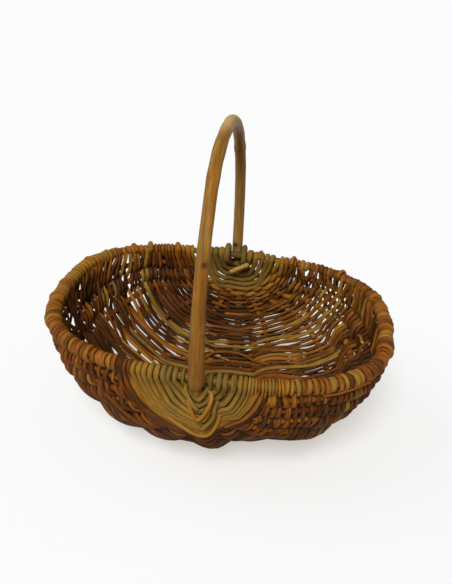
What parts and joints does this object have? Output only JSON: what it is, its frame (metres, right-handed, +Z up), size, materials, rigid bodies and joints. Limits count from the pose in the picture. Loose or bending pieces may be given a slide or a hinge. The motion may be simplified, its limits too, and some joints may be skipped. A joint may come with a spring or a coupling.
{
  "type": "mushroom foraging basket",
  "caption": "Oval frame basket with a rigid overhead hoop handle, a stick rim, fanned ribs, ear lashings and a woven willow bowl, for gathering mushrooms.",
  "frame": {"origin": "on the ground under the middle of the basket's box", "axes": "+X along the rim's long axis, +Y along the handle from the near ear to the far ear, +Z up"},
  "size_m": [0.4066, 0.3438, 0.3725],
  "materials": {
    "handle_wood": "satin",
    "rim_wood": "bark",
    "rib_willow": "bark",
    "ear_willow": "bark",
    "band_willow": "bark",
    "red_band_willow": "bark"
  },
  "bodies": {
    "root": {"handle_hoop": "handle_wood", "rim_hoop": "rim_wood", "rib_left_1": "rib_willow", "rib_left_2": "rib_willow", "rib_left_3": "rib_willow", "rib_left_4": "rib_willow", "rib_left_5": "rib_willow", "rib_right_1": "rib_willow", "rib_right_2": "rib_willow", "rib_right_3": "rib_willow", "rib_right_4": "rib_willow", "rib_right_5": "rib_willow", "near_ear_wrap_1": "ear_willow", "near_ear_wrap_2": "ear_willow", "near_ear_wrap_3": "ear_willow", "far_ear_wrap_1": "ear_willow", "far_ear_wrap_2": "ear_willow", "far_ear_wrap_3": "ear_willow", "weave_band_01": "band_willow", "weave_band_02": "red_band_willow", "weave_band_03": "band_willow", "weave_band_04": "band_willow", "weave_band_05": "red_band_willow", "weave_band_06": "band_willow", "weave_band_07": "band_willow", "weave_band_08": "red_band_willow", "weave_band_09": "band_willow", "weave_band_10": "band_willow", "weave_band_11": "red_band_willow", "weave_band_12": "band_willow", "weave_band_13": "band_willow", "weave_band_14": "red_band_willow", "weave_band_15": "band_willow", "weave_band_16": "band_willow", "weave_band_17": "red_band_willow", "weave_band_18": "band_willow", "weave_band_19": "band_willow", "weave_band_20": "red_band_willow", "weave_band_21": "band_willow", "weave_band_22": "band_willow", "weave_band_23": "red_band_willow", "weave_band_24": "band_willow"}
  },
  "joints": []
}
